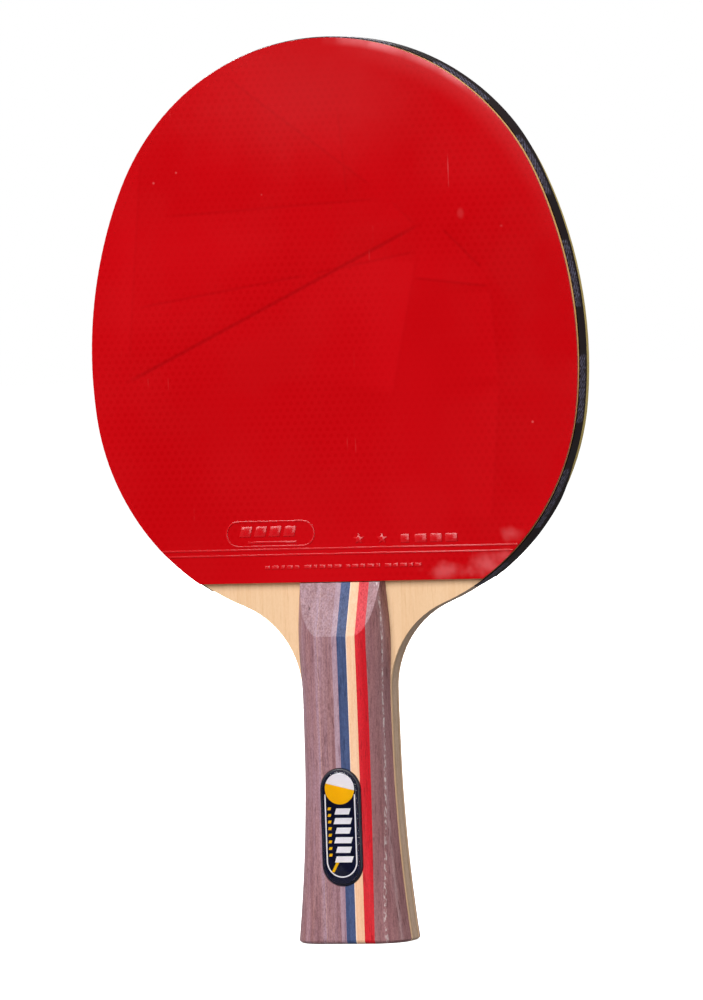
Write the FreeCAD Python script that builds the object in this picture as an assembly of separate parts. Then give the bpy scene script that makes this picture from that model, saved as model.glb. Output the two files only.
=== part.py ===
import FreeCAD, Part
import math
import os

# A flared table tennis paddle, in millimetres.
# The origin is the centre of the butt end. +Z runs up the handle to the head, +X runs across
# the blade, and the forehand face looks along -Y. The blade's middle plane is y = 0.

V = FreeCAD.Vector
UP = V(0, 0, 1)

# ---- overall sizes -------------------------------------------------------------------------
handle_length = 103.7        # butt end to the straight lower edge of the rubbers
head_length = 156.3          # that edge to the crown of the head, over the rubbers
head_width = 150.0           # across the rubbers

# ---- outline of the head and throat --------------------------------------------------------
crown_radius = 69.8          # arc over the top of the blade
cheek_radius = 69.0          # arc under the widest place
widest_above_edge = 63.7     # widest place, above the rubbers' lower edge
throat_slope = 21.0          # degrees below level of the straight run into the throat
throat_radius = 26.9         # hollow between the head and the handle
throat_foot_below_edge = 31.7
neck_width = 27.2

# ---- blade plies, forehand to backhand -----------------------------------------------------
face_ply = 0.85
cross_ply = 1.10
core_ply = 2.40
plies = (
    ("front_face_ply", face_ply),
    ("front_cross_ply", cross_ply),
    ("core_ply", core_ply),
    ("back_cross_ply", cross_ply),
    ("back_face_ply", face_ply),
)

# ---- rubbers and edge tape -----------------------------------------------------------------
front_sponge = 1.2
front_topsheet = 1.0
back_sponge = 2.0
back_topsheet = 1.1
tape_thickness = 0.4
tape_below_edge = 2.2        # how far the tape runs past the rubbers towards the handle
rubber_gap = 0.2             # rubbers' lower edge to the top of the grip

# ---- grip ----------------------------------------------------------------------------------
butt_width = 34.6
neck_length = 12.0           # straight and narrowest, between the throat's foot and the flare
grip_depth_neck = 22.0       # through both halves of the grip and the blade
grip_depth_butt = 23.0
grip_corner = 9.5            # radius along the long corners
shoulder_width = 28.4        # the small swelling under the head
shoulder_below_edge = 18.7
grip_top_width = 26.4
bevel_length = 15.2          # thumb bevel, down from the top of the grip
bevel_end_thickness = 2.4    # what the bevel leaves at the top
butt_rounding = 1.4

# strips glued side by side in each half of the grip, from the -X side of the forehand half
blue_left_x = 0.45           # the joint that the other strips are set out from
mauve_inner_width = 4.5
lilac_inner_width = 1.55
blue_width = 2.85
cream_width = 2.7
red_width = 3.0
lilac_outer_width = 1.2

# ---- badge ---------------------------------------------------------------------------------
badge_length = 33.8
badge_width = 12.3
badge_centre_z = 33.6
badge_clearance = 0.15       # all round, in its pocket
pocket_floor_depth = 0.45    # below the face of the grip at the neck
badge_base_thickness = 0.9
badge_lip = 0.65             # width of the base left bare around the print
badge_print_thickness = 0.15
badge_dome_thickness = 0.75
badge_dome_rounding = 0.6

# ---- worked out from the sizes above -------------------------------------------------------
half_blade = sum(thickness for _, thickness in plies) / 2
crown_z = handle_length + head_length - tape_thickness
half_width = head_width / 2 - tape_thickness
widest_z = handle_length + widest_above_edge
throat_foot_z = handle_length - throat_foot_below_edge
flare_start = throat_foot_z - neck_length
grip_top = handle_length - rubber_gap
shoulder_z = handle_length - shoulder_below_edge
pocket_y = -(grip_depth_neck / 2 - pocket_floor_depth)
beyond = 2 * (handle_length + head_length + head_width)   # larger than the whole paddle


# ---- small helpers -------------------------------------------------------------------------
def polar(centre, radius, degrees):
    """Point on a circle in the X-Z plane, measured from +X towards +Z."""
    a = math.radians(degrees)
    return centre + V(math.cos(a), 0, math.sin(a)) * radius


def bearing(vector):
    return math.degrees(math.atan2(vector.z, vector.x))


def arc(centre, radius, start, end):
    middle = polar(centre, radius, (start + end) / 2)
    return Part.Arc(polar(centre, radius, start), middle, polar(centre, radius, end)).toShape()


def line(start, end):
    return Part.LineSegment(start, end).toShape()


def slab(face, y_low, y_high):
    """A face in the X-Z plane, given thickness between two depths."""
    return face.translated(V(0, y_low, 0)).extrude(V(0, y_high - y_low, 0))


def box(x, y, z):
    """A box from three (low, high) pairs."""
    corner = V(x[0], y[0], z[0])
    return Part.makeBox(x[1] - x[0], y[1] - y[0], z[1] - z[0], corner)


def above(z):
    return box((-beyond, beyond), (-beyond, beyond), (z, beyond))


# ---- blade outline -------------------------------------------------------------------------
def side_centre():
    """Centre and radius of the side arc, tangent to the crown arc and upright at the widest place."""
    crown = V(0, 0, crown_z - crown_radius)
    rise = crown.z - widest_z
    radius = (half_width**2 + rise**2 - crown_radius**2) / (2 * half_width - 2 * crown_radius)
    return crown, V(half_width - radius, 0, widest_z), radius


def cheek_centre(side, side_radius, throat):
    """Centre of the cheek arc, tangent to the side arc and to the straight run into the throat."""
    outward = polar(V(0, 0, 0), 1, throat_slope - 90)
    along = polar(V(0, 0, 0), 1, throat_slope)
    start = throat - outward * (throat_radius + cheek_radius)
    to_start = start - side
    b = to_start.dot(along)
    c = to_start.dot(to_start) - (side_radius - cheek_radius) ** 2
    return start + along * (math.sqrt(b * b - c) - b)


def half_outline(growth):
    """Edges of the +X half, from the crown down to the butt, grown outwards by the given amount."""
    crown, side, side_radius = side_centre()
    throat = V(neck_width / 2 + throat_radius, 0, throat_foot_z)
    cheek = cheek_centre(side, side_radius, throat)
    crown_to_side = bearing((crown - side) * math.copysign(1, side_radius - crown_radius))
    side_to_cheek = bearing((cheek - side) * math.copysign(1, side_radius - cheek_radius))
    run = throat_slope - 90
    hollow = throat_radius - growth
    neck_x = neck_width / 2 + growth
    flare_radius, flare_end = flare_arc()
    flare = V(neck_width / 2 + flare_radius, 0, flare_start)
    return [
        arc(crown, crown_radius + growth, 90, crown_to_side),
        arc(side, side_radius + growth, crown_to_side, side_to_cheek),
        arc(cheek, cheek_radius + growth, side_to_cheek, run),
        line(polar(cheek, cheek_radius + growth, run), polar(throat, hollow, run + 180)),
        arc(throat, hollow, run + 180, 180),
        line(V(neck_x, 0, throat_foot_z), V(neck_x, 0, flare_start)),
        arc(flare, flare_radius - growth, 180, 180 + flare_end),
    ]


def flare_arc():
    """Radius of the flare, and how many degrees it turns down to the butt."""
    spread = (butt_width - neck_width) / 2
    radius = (flare_start**2 + spread**2) / (2 * spread)
    return radius, math.degrees(math.asin(flare_start / radius))


def outline(growth=0.0):
    right = half_outline(growth)
    left = [edge.mirror(V(0, 0, 0), V(1, 0, 0)) for edge in reversed(right)]
    foot = right[-1].BoundBox
    across = line(V(foot.XMax, 0, foot.ZMin), V(-foot.XMax, 0, foot.ZMin))
    return Part.Face(Part.Wire(Part.__sortEdges__(right + [across] + left)))


# ---- blade, rubbers and tape ---------------------------------------------------------------
def make_plies(butt_tool):
    y = -half_blade
    for name, thickness in plies:
        yield name, slab(outline(), y, y + thickness).cut(butt_tool)
        y += thickness


def make_rubbers():
    """Sponges are cut to the blade, and topsheets reach out over the tape."""
    blade = outline()
    rim = outline(tape_thickness)
    head = above(handle_length)
    front = half_blade + front_sponge
    back = half_blade + back_sponge
    yield "front_sponge", slab(blade, -front, -half_blade).common(head)
    yield "front_topsheet", slab(rim, -front - front_topsheet, -front).common(head)
    yield "back_sponge", slab(blade, half_blade, back).common(head)
    yield "back_topsheet", slab(rim, back, back + back_topsheet).common(head)


def make_tape():
    """A band round the edge of the blade and of the forehand sponge."""
    y = (-half_blade - front_sponge, half_blade)
    band = slab(outline(tape_thickness), *y).cut(slab(outline(), *y))
    return band.common(above(handle_length - tape_below_edge))


# ---- grip ----------------------------------------------------------------------------------
def grip_half_width(z):
    if z < flare_start:
        radius, _ = flare_arc()
        return neck_width / 2 + radius - math.sqrt(radius**2 - (flare_start - z) ** 2)
    if z <= throat_foot_z:
        return neck_width / 2
    if z <= shoulder_z:
        t = (z - throat_foot_z) / (shoulder_z - throat_foot_z)
        return neck_width / 2 + (shoulder_width - neck_width) / 2 * t * t * (3 - 2 * t)
    t = (z - shoulder_z) / (grip_top - shoulder_z)
    return shoulder_width / 2 - (shoulder_width - grip_top_width) / 2 * t * t


def grip_half_depth(z):
    t = max(0.0, (flare_start - z) / flare_start)
    return (grip_depth_neck + (grip_depth_butt - grip_depth_neck) * t * t) / 2


def grip_section(z):
    """Cross-section of the forehand half: flat glue face, flat front, large rounded corners."""
    a, b = grip_half_width(z), grip_half_depth(z)
    r = min(grip_corner, 0.75 * a)
    flat = a - r
    arc_start = max(half_blade, b - r)
    sine = (arc_start - (b - r)) / r
    edge_x = flat + r * math.sqrt(1 - sine * sine)
    bend = math.radians((90 + math.degrees(math.asin(sine))) / 2)
    bend_x, bend_y = flat + r * math.cos(bend), -(b - r) - r * math.sin(bend)
    low, high = -arc_start, -b
    edges = [
        Part.Arc(V(edge_x, low, z), V(bend_x, bend_y, z), V(flat, high, z)).toShape(),
        line(V(flat, high, z), V(-flat, high, z)),
        Part.Arc(V(-flat, high, z), V(-bend_x, bend_y, z), V(-edge_x, low, z)).toShape(),
    ]
    if arc_start > half_blade:
        edges.append(line(V(-edge_x, low, z), V(-edge_x, -half_blade, z)))
        edges.insert(0, line(V(edge_x, -half_blade, z), V(edge_x, low, z)))
    edges.append(line(V(-edge_x, -half_blade, z), V(edge_x, -half_blade, z)))
    return Part.Wire(edges)


def grip_stations():
    """Heights of the sections that the grip is lofted through."""
    flare = [flare_start * i / 6 for i in range(7)]
    bulge = [throat_foot_z, (throat_foot_z + shoulder_z) / 2, shoulder_z]
    return flare + bulge + [(shoulder_z + grip_top) / 2, grip_top]


def bevel_tool():
    """The wedge that the thumb bevel takes off the forehand half."""
    face_y = -grip_half_depth(grip_top)
    low = V(-beyond, face_y, grip_top - bevel_length)
    high = V(-beyond, -half_blade - bevel_end_thickness, grip_top)
    slope = high - low
    points = [low - slope, high + slope, V(-beyond, face_y * 3, high.z + slope.z)]
    profile = Part.makePolygon(points + [points[0]])
    return Part.Face(profile).extrude(V(2 * beyond, 0, 0))


def butt_rounding_tool():
    """What the rounded edge of the butt takes off the grip and the blade."""
    a, b = grip_half_width(0), grip_half_depth(0)
    post = Part.makeBox(2 * a, 2 * b, beyond, V(-a, -b, 0))
    corners = [e for e in post.Edges if e.Length > beyond / 2]
    post = post.makeFillet(min(grip_corner, 0.75 * a), corners)
    foot = [e for e in post.Edges if e.BoundBox.ZMax < 1e-6]
    rounded = post.makeFillet(butt_rounding, foot)
    around = box((-butt_width, butt_width), (-grip_depth_butt, grip_depth_butt), (-1, 5))
    return around.cut(rounded)


def capsule(width, length, y_front, depth, rounding=0.0):
    """An upright capsule plate on the badge's centre, from its front face back by the given depth."""
    r = width / 2
    top = V(0, y_front, badge_centre_z + length / 2 - r)
    foot = V(0, y_front, badge_centre_z - length / 2 + r)
    edges = [arc(top, r, 0, 180), line(polar(top, r, 180), polar(foot, r, 180))]
    edges += [arc(foot, r, 180, 360), line(polar(foot, r, 0), polar(top, r, 0))]
    plate = Part.Face(Part.Wire(edges)).extrude(V(0, depth, 0))
    if rounding:
        face_edges = [e for e in plate.Edges if e.BoundBox.YMax < y_front + 1e-6]
        plate = plate.makeFillet(rounding, face_edges)
    return plate


def strip_joints():
    """Name of each strip with the x of its two glue joints."""
    reach = butt_width
    widths = (
        ("blue", blue_width),
        ("cream", cream_width),
        ("red", red_width),
        ("lilac_outer", lilac_outer_width),
    )
    inner = blue_left_x - lilac_inner_width
    outer = inner - mauve_inner_width
    joints = [("mauve_outer", -reach, outer), ("mauve_inner", outer, inner)]
    joints.append(("lilac_inner", inner, blue_left_x))
    x = blue_left_x
    for name, width in widths:
        joints.append((name, x, x + width))
        x += width
    return joints + [("mauve_side", x, reach)]


def make_grip(butt_tool):
    """Both halves of the grip, each cut into its strips."""
    half = Part.makeLoft([grip_section(z) for z in grip_stations()], True, False)
    half = half.cut(bevel_tool()).cut(butt_tool)
    clear = 2 * badge_clearance
    pocket_depth = grip_depth_butt + pocket_y
    pocket = capsule(badge_width + clear, badge_length + clear, -grip_depth_butt, pocket_depth)
    for name, low, high in strip_joints():
        strip = half.common(box((low, high), (-beyond, 0), (-beyond, beyond)))
        turned = strip.copy()
        turned.rotate(V(0, 0, 0), UP, 180)
        yield "front_grip_" + name, strip.cut(pocket)
        yield "back_grip_" + name, turned


# ---- badge ---------------------------------------------------------------------------------
def make_badge():
    """A dark base set in the pocket, a printed foil on it and a clear dome over the foil."""
    base_y = pocket_y - badge_base_thickness
    print_y = base_y - badge_print_thickness
    dome_y = print_y - badge_dome_thickness
    width, length = badge_width - 2 * badge_lip, badge_length - 2 * badge_lip
    yield "badge_base", capsule(badge_width, badge_length, base_y, badge_base_thickness)
    yield "badge_print", capsule(width, length, print_y, badge_print_thickness)
    yield "badge_dome", capsule(width, length, dome_y, badge_dome_thickness, badge_dome_rounding)


# ---- the whole paddle ----------------------------------------------------------------------
def pieces():
    butt_tool = butt_rounding_tool()
    yield from make_plies(butt_tool)
    yield from make_rubbers()
    yield "edge_tape", make_tape()
    yield from make_grip(butt_tool)
    yield from make_badge()


os.makedirs("parts", exist_ok=True)
for name, shape in pieces():
    if len(shape.Solids) == 1:
        shape = shape.Solids[0]
    shape.exportStep("parts/" + name + ".step")
    print(f"{name:24s} {len(shape.Solids)} solid {shape.Volume / 1000:8.3f} cm3 {shape.isValid()}")
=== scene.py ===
# %% [markdown]
# # A flared table tennis paddle
# A paddle is a plywood blade with a rubber on each side, a tape round its edge and a grip glued
# from thin strips of coloured wood. Here each of those gets its own finish, and the parts with
# fine detail (rubbers, tape, badge) are modelled again over the plain CAD solids.
# Everything is in metres: +Z runs up the handle, +X across the blade, and the red side looks
# along -Y. We start by loading the imported CAD model, which never moves.

# %% Load the imported model
import bpy
import bmesh
import math
from mathutils import Matrix, Vector, noise


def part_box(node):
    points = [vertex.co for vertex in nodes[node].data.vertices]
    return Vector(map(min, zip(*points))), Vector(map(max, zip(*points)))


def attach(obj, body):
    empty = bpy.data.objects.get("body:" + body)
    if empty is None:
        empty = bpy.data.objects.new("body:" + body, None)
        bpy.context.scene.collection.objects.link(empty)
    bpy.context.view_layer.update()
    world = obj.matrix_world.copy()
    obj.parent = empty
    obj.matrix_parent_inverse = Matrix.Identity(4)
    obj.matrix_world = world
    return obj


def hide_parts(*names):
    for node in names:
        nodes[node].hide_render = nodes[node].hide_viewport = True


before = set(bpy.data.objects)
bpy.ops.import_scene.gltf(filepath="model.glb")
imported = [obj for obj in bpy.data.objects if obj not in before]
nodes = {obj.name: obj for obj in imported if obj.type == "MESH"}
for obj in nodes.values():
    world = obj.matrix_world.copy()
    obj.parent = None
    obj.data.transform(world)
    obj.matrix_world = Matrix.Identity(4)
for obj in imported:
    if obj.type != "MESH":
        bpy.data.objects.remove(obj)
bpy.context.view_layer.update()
print("CAD nodes:", len(nodes))

# %% [markdown]
# ## Sizes that the rest is set out from
# The levels of the faces can be read from the CAD nodes. The radii of the outline can't be read
# from a box, so they are repeated here: the rim of the head is three arcs on each side, the
# crown, the long flat side and the cheek that turns in to the handle.

# %% Sizes
mm = 0.001
red_low, red_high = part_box("front_topsheet")
black_low, black_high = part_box("back_topsheet")
tape_low, tape_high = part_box("edge_tape")
edge_z = red_low.z              # the straight lower edge of both rubbers
crown_z = red_high.z
half_width = red_high.x
red_face = red_low.y
black_face = black_high.y
red_back = red_high.y           # where the red topsheet meets its sponge
black_back = black_low.y

crown_radius = 70.2 * mm
side_centre = Vector((-49.867 * mm, 0, edge_z + 63.7 * mm))
crown_centre = Vector((0, 0, crown_z - crown_radius))
side_radius = half_width - side_centre.x
cheek_radius = 69.4 * mm
across = crown_centre - side_centre
crown_to_side = math.atan2(across.z, across.x)
side_to_cheek = -math.radians(6.43)
reach = side_radius - cheek_radius
cheek_centre = side_centre + Vector((math.cos(side_to_cheek), 0, math.sin(side_to_cheek))) * reach
print("red face", round(red_face * 1000, 2), "black face", round(black_face * 1000, 2), "mm")

# %% [markdown]
# ## Camera
# The paddle is seen almost straight on, from a little to the right and a touch above, with a
# long lens that keeps its shape true. It leans a little in the picture, which is the camera's
# roll and not the paddle's, so the camera's own axes are worked out and turned by that roll.

# %% Camera
azimuth, elevation, roll = math.radians(21.41), math.radians(1.87), math.radians(2.13)
target, distance = Vector((0, 0, 0.130)), 2.5
right = Vector((math.cos(azimuth), math.sin(azimuth), 0))
back = Vector((math.sin(azimuth) * math.cos(elevation), -math.cos(azimuth) * math.cos(elevation),
               math.sin(elevation)))
up = back.cross(right)
right, up = (math.cos(roll) * right - math.sin(roll) * up,
             math.sin(roll) * right + math.cos(roll) * up)
aim = target + right * 0.002355 - up * 0.003044

camera = bpy.data.objects.new("camera", bpy.data.cameras.new("camera"))
bpy.context.scene.collection.objects.link(camera)
camera.matrix_world = Matrix.Translation(aim + back * distance) @ Matrix(
    (right, up, back)).transposed().to_4x4()
camera.data.sensor_fit = "VERTICAL"
camera.data.sensor_height = 36
camera.data.lens = 313.4
camera.data.clip_end = 100
bpy.context.scene.camera = camera
print("camera at", [round(v, 3) for v in camera.location])

# %% [markdown]
# ## Node helpers
# A material is a tree of small nodes. These helpers keep each step to one line: `add` makes a
# node, and whatever is named in its inputs is either a plain value or another node's output.
# An output knows which tree it belongs to, so the new node goes there too.

# %% Helpers for nodes
def wire(made, inputs):
    """Fills a node's inputs: another node's output is linked, and anything else is a plain value."""
    for key, value in dict(inputs).items():
        if isinstance(value, bpy.types.NodeSocket):
            made.id_data.links.new(value, made.inputs[key])
        else:
            made.inputs[key].default_value = value
    return made


def add(kind, inputs, **settings):
    """A new node in the tree that its first linked input belongs to."""
    linked = [v for v in inputs.values() if isinstance(v, bpy.types.NodeSocket)]
    made = linked[0].id_data.nodes.new("ShaderNode" + kind)
    for name, value in settings.items():
        setattr(made, name, value)
    return wire(made, inputs)


def maths(operation, *values):
    return add("Math", dict(enumerate(values)), operation=operation).outputs[0]


def plus(a, b):
    return maths("ADD", a, b)


def minus(a, b):
    return maths("SUBTRACT", a, b)


def times(a, b):
    return maths("MULTIPLY", a, b)


def cloud(place, scale, detail=2.0):
    """A noise pattern of soft clouds: scale is how many to the metre, detail how crinkled."""
    return add("TexNoise", {"Vector": place, "Scale": scale, "Detail": detail}).outputs[0]


def split(vector):
    return add("SeparateXYZ", {0: vector}).outputs


def spread(value, low, high, to_low=0.0, to_high=1.0, kind="LINEAR"):
    """Values from low to high are spread over to_low to to_high, and held at the ends."""
    inputs = {0: value, 1: low, 2: high, 3: to_low, 4: to_high}
    return add("MapRange", inputs, interpolation_type=kind).outputs[0]


def mix(mask, first, second):
    return add("Mix", {0: mask, 6: first, 7: second}, data_type="RGBA").outputs[2]


# %% [markdown]
# A few more helpers stand on those. They turn a paint chart's colour into light, draw a soft
# spot, and start a node group or a material.

# %% Helpers for materials
def colour(red, green, blue):
    """A colour as a paint chart gives it, 0 to 255, turned into the light values nodes need."""
    def light(v):
        v /= 255
        return v / 12.92 if v <= 0.04045 else ((v + 0.055) / 1.055) ** 2.4
    return (light(red), light(green), light(blue), 1.0)


def spot(place, x, z, wide, high, ragged=0.9, scale=160.0):
    """A soft ragged ellipse on a face, placed and sized in millimetres."""
    local = add("Mapping", {"Vector": place, "Location": (x * mm, 0, z * mm),
                            "Scale": (wide * mm, 1, high * mm)}, vector_type="TEXTURE").outputs[0]
    bend = cloud(place, scale)
    away = add("VectorMath", {0: local}, operation="LENGTH").outputs["Value"]
    away = plus(away, times(bend, ragged))
    return spread(away, 0.5 * ragged, 0.9 + 0.5 * ragged, 1.0, 0.0, kind="SMOOTHSTEP")


def new_group(name, ins, outs):
    """A shader node group with named sockets: ins is {name: (type, default)}."""
    tree = bpy.data.node_groups.new(name, "ShaderNodeTree")
    for socket, (kind, default) in ins.items():
        made = tree.interface.new_socket(socket, in_out="INPUT", socket_type="NodeSocket" + kind)
        if default is not None:
            made.default_value = default
    for socket, kind in outs.items():
        tree.interface.new_socket(socket, in_out="OUTPUT", socket_type="NodeSocket" + kind)
    return tree, tree.nodes.new("NodeGroupInput").outputs, tree.nodes.new("NodeGroupOutput")


def use(group, inputs):
    return add("Group", inputs, node_tree=group).outputs


def new_material(name, **shader_values):
    """A material with its Principled shader, and the object's own coordinates to paint by."""
    material = bpy.data.materials.new(name)
    material.use_nodes = True
    shader = material.node_tree.nodes["Principled BSDF"]
    wire(shader, {key.replace("_", " "): value for key, value in shader_values.items()})
    place = material.node_tree.nodes.new("ShaderNodeTexCoord").outputs["Object"]
    return material, shader, place


def bump(shader, height, depth):
    """Height 0 to 1 becomes a relief of that depth in metres."""
    made = add("Bump", {"Strength": 1.0, "Distance": depth, "Height": height})
    wire(shader, {"Normal": made.outputs[0]})


print("128 of 255 on a paint chart is", round(colour(128, 128, 128)[0], 3), "of the light")

# %% [markdown]
# ## Wood grain
# All the woods on the paddle are cut along the grain, which runs up the handle, so one group
# serves them all. A noise pattern stretched along Z gives streaks of two widths, a less
# stretched one gives short dark pores, and a fine one gives the speckle of cut fibres. The group
# also marks the thumb bevel, a plane that was sanded after varnishing, from its own height and
# slope, because every strip that reaches it turns pale and matt there.

# %% Wood grain group
grip_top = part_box("front_grip_mauve_outer")[1].z
grip_depth = 11.0 * mm                          # from the middle of the blade to the grip's flat
bevel_length, bevel_end = 15.2 * mm, 5.55 * mm  # the end is what is left of the depth at the top
bevel_foot = grip_top - bevel_length
bevel_slope = (grip_depth - bevel_end) / bevel_length


def make_grain_group():
    group, given, out = new_group(
        "wood_grain",
        {"Vector": ("Vector", None), "Width": ("Float", 1.0), "Seed": ("Float", 0.0)},
        {"Streak": "Float", "Broad": "Float", "Pore": "Float", "Speckle": "Float", "Sanded": "Float"})
    shift = add("CombineXYZ", {0: given["Seed"], 1: given["Seed"], 2: given["Seed"]}).outputs[0]
    moved = add("VectorMath", {0: given["Vector"], 1: shift}, operation="ADD").outputs[0]

    def noise_along(per_metre, stretch, detail, low, high):
        stretched = add("Mapping", {"Vector": moved, "Scale": (1, 1, 1 / stretch)}).outputs[0]
        scale = maths("DIVIDE", per_metre, given["Width"])
        made = add("TexNoise", {"Vector": stretched, "Scale": scale, "Detail": detail,
                                "Roughness": 0.65}).outputs[0]
        return spread(made, low, high)

    _, y, z = split(given["Vector"])
    rise = minus(z, bevel_foot)
    plane = minus(times(rise, bevel_slope), grip_depth)
    near = maths("ABSOLUTE", minus(y, plane))
    on_plane = spread(near, 0.04 * mm, 0.10 * mm, 1.0, 0.0)
    above = spread(rise, -0.1 * mm, 0.1 * mm)
    wire(out, {"Streak": noise_along(1700.0, 40, 3.0, 0.34, 0.66),
                     "Broad": noise_along(420.0, 30, 2.0, 0.36, 0.64),
                     "Pore": noise_along(2300.0, 11, 1.0, 0.60, 0.68),
                     "Speckle": noise_along(2600.0, 1.8, 1.0, 0.36, 0.66),
                     "Sanded": times(on_plane, above)})
    return group


wood_grain = make_grain_group()
print("wood grain nodes:", len(wood_grain.nodes))

# %% [markdown]
# ## Handling marks
# Nothing that has been made and packed is perfectly clean. One group gives every finish the same
# three things at its own strength: soft smudges that change the gloss, tiny pale specks of dust,
# and a few short hair scratches.

# %% Handling group
def make_handling_group():
    group, given, out = new_group(
        "handling",
        {"Vector": ("Vector", None), "Speck Size": ("Float", 160.0), "Speck Share": ("Float", 0.12)},
        {"Smudge": "Float", "Speck": "Float", "Scratch": "Float"})
    slow = cloud(given["Vector"], 45.0, 3.0)
    smudge = spread(slow, 0.35, 0.65, kind="SMOOTHSTEP")
    cells = add("TexVoronoi", {"Vector": given["Vector"], "Scale": given["Speck Size"]})
    dot = spread(cells.outputs["Distance"], 0.03, 0.07, 1.0, 0.0)
    chosen = add("SeparateColor", {0: cells.outputs["Color"]}).outputs[0]
    rare = maths("LESS_THAN", chosen, given["Speck Share"])
    turned = add("Mapping", {"Vector": given["Vector"], "Rotation": (0.0, 0.25, 0.0),
                             "Scale": (1.0, 1.0, 0.03)}).outputs[0]
    lines = cloud(turned, 1400.0, 0.0)
    patches = cloud(given["Vector"], 120.0)
    scratch = times(spread(lines, 0.78, 0.83), spread(patches, 0.60, 0.68))
    wire(out, {"Smudge": smudge, "Speck": times(dot, rare), "Scratch": scratch})
    return group


handling = make_handling_group()
print("handling nodes:", len(handling.nodes))

# %% [markdown]
# ## Woods
# The veneers are pale and quiet, and the dyed strips of the grip are stronger. Each wood is the
# same recipe with its own colours: a dark and a light tone along the streaks, a darker pore
# line, a slow drift of tone, and a relief only a few hundredths of a millimetre deep.

# %% Wood recipe
def wood(name, middle, light, dark, pore, width=1.0, seed=0.0, pore_depth=0.5, roughness=0.45,
         relief=0.04, speckle=0.25, coat=0.0, sanded=(214, 196, 206), sanding=0.0, worn=0.0,
         lines=(), knots=()):
    material, shader, place = new_material(name, Coat_Roughness=0.22, Specular_IOR_Level=0.3)
    grain = use(wood_grain, {"Vector": place, "Width": width, "Seed": seed})
    marks = use(handling, {"Vector": place})
    paint = mix(grain["Broad"], colour(*dark), colour(*middle))
    for x, half, line_colour, strength in lines:
        away = maths("ABSOLUTE", minus(split(place)[0], x * mm))
        line = spread(away, half * 0.4 * mm, half * mm, strength, 0.0)
        paint = mix(line, paint, colour(*line_colour))
    paint = mix(times(grain["Streak"], 0.55), paint, colour(*light))
    paint = mix(times(grain["Pore"], pore_depth), paint, colour(*pore))
    paint = mix(times(grain["Speckle"], speckle), paint, colour(*pore))
    dust = spread(grain["Speckle"], 0.0, 1.0, sanding * 1.3, sanding * 0.6)
    paint = mix(times(grain["Sanded"], dust), paint, colour(*sanded))
    for x, z, wide, high in knots:
        knot = spot(place, x, z, wide, high, 0.6, 1500.0)
        paint = mix(times(knot, 0.75), paint, colour(52, 24, 26))
    # worn sets how strong the pale flecks along the rounded corner are: partly worn varnish, partly
    # painted glints, painted highlights of the light on the corner.
    if worn:
        # Along the grip's rounded corner, x is as large as its depth times a lean that grows
        # from the flare to the neck, so the sum of the two is near zero there.
        x, y, z = split(place)
        lean = spread(z, 10 * mm, 55 * mm, 1.2, 1.94)
        corner = plus(x, times(y, lean))
        corner = spread(maths("ABSOLUTE", corner), 0.3 * mm, 1.0 * mm, 1.0, 0.0)
        long = add("Mapping", {"Vector": place, "Scale": (1.0, 1.0, 0.3)}).outputs[0]
        glint_and_wear_flecks = cloud(long, 2400.0, 3.0)
        patches = cloud(long, 500.0)
        glint_and_wear_flecks = times(spread(glint_and_wear_flecks, 0.49, 0.6), spread(patches, 0.4, 0.55, 0.5, worn))
        # The pale fleck colour is partly worn varnish and partly a painted highlight.
        paint = mix(times(corner, glint_and_wear_flecks), paint, colour(240, 226, 224))
    rough = spread(marks["Smudge"], 0.0, 1.0, roughness - 0.05, roughness + 0.08)
    rough = plus(rough, times(grain["Pore"], 0.2))
    rough = plus(rough, times(grain["Sanded"], 0.2))
    wire(shader, {"Base Color": paint, "Roughness": rough})
    if coat:
        bare = maths("MAXIMUM", grain["Sanded"], grain["Pore"])
        wire(shader, {"Coat Weight": spread(bare, 0.0, 1.0, coat, 0.0)})
    height = minus(times(grain["Streak"], 0.5), times(grain["Pore"], 0.5))
    height = plus(height, times(grain["Speckle"], 0.5))
    bump(shader, height, relief * mm)
    return material
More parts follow.
